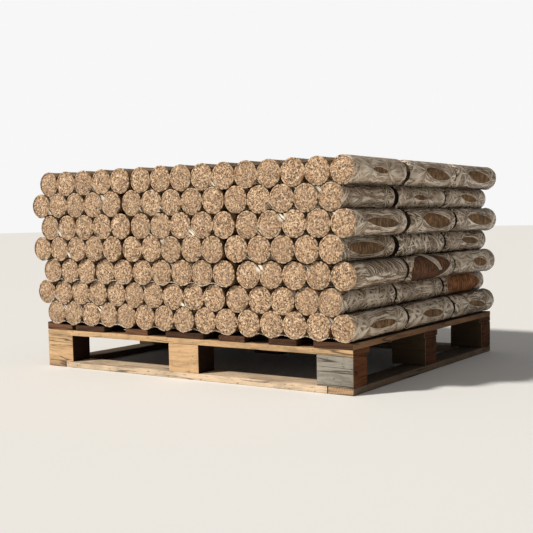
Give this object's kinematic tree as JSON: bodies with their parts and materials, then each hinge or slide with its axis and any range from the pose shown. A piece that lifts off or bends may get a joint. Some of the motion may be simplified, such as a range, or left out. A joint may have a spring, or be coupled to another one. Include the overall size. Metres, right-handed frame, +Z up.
{
  "type": "pallet of compressed wood briquettes",
  "caption": "Wooden pallet with fork openings on every side, carrying staggered rows of round compressed-wood briquettes in clear shrink-film packs.",
  "frame": {"origin": "on the floor, under the middle of the load's length and depth", "axes": "+X along the pallet's long side to the right, +Y to the back along the briquettes, +Z up"},
  "size_m": [1.2604, 1.0366, 0.6556],
  "materials": {
    "briquette": "pressed chips, matte, speckled ends and ringed brown sides",
    "film": "clear shrink film, glossy, wrinkled",
    "pine": "sawn softwood, dry, dusty",
    "weathered_block": "sawn softwood, greyed by weather",
    "deck": "sawn softwood, reddish brown, dry"
  },
  "bodies": {
    "root": {"deck_board_1": "deck", "deck_board_2": "deck", "deck_board_3": "deck", "deck_board_4": "deck", "deck_board_5": "deck", "deck_board_6": "deck", "deck_board_7": "deck", "stringer_front": "pine", "stringer_middle": "pine", "stringer_rear": "pine", "block_front_left": "pine", "block_front_middle": "pine", "block_front_right": "weathered_block", "block_centre_left": "pine", "block_centre_middle": "pine", "block_centre_right": "pine", "block_rear_left": "pine", "block_rear_middle": "pine", "block_rear_right": "pine", "bottom_board_left": "pine", "bottom_board_right": "pine", "bottom_board_front": "pine", "bottom_board_rear": "pine", "pack_row1_left": "briquette", "pack_row1_middle": "briquette", "pack_row1_right": "briquette", "course_row1_middle": "briquette", "course_row1_rear": "briquette", "pack_row2_left": "briquette", "pack_row2_middle": "briquette", "pack_row2_right": "briquette", "course_row2_middle": "briquette", "course_row2_rear": "briquette", "pack_row3_left": "briquette", "pack_row3_middle": "briquette", "pack_row3_right": "briquette", "course_row3_middle": "briquette", "course_row3_rear": "briquette", "pack_row4_left": "briquette", "pack_row4_middle": "briquette", "pack_row4_right": "briquette", "course_row4_middle": "briquette", "course_row4_rear": "briquette", "pack_row5_left": "briquette", "pack_row5_middle": "briquette", "pack_row5_right": "briquette", "course_row5_middle": "briquette", "course_row5_rear": "briquette", "pack_row6_left": "briquette", "pack_row6_middle": "briquette", "pack_row6_right": "briquette", "course_row6_middle": "briquette", "course_row6_rear": "briquette", "pack_row7_left": "briquette", "pack_row7_middle": "briquette", "pack_row7_right": "briquette", "course_row7_middle": "briquette", "course_row7_rear": "briquette"}
  },
  "joints": []
}
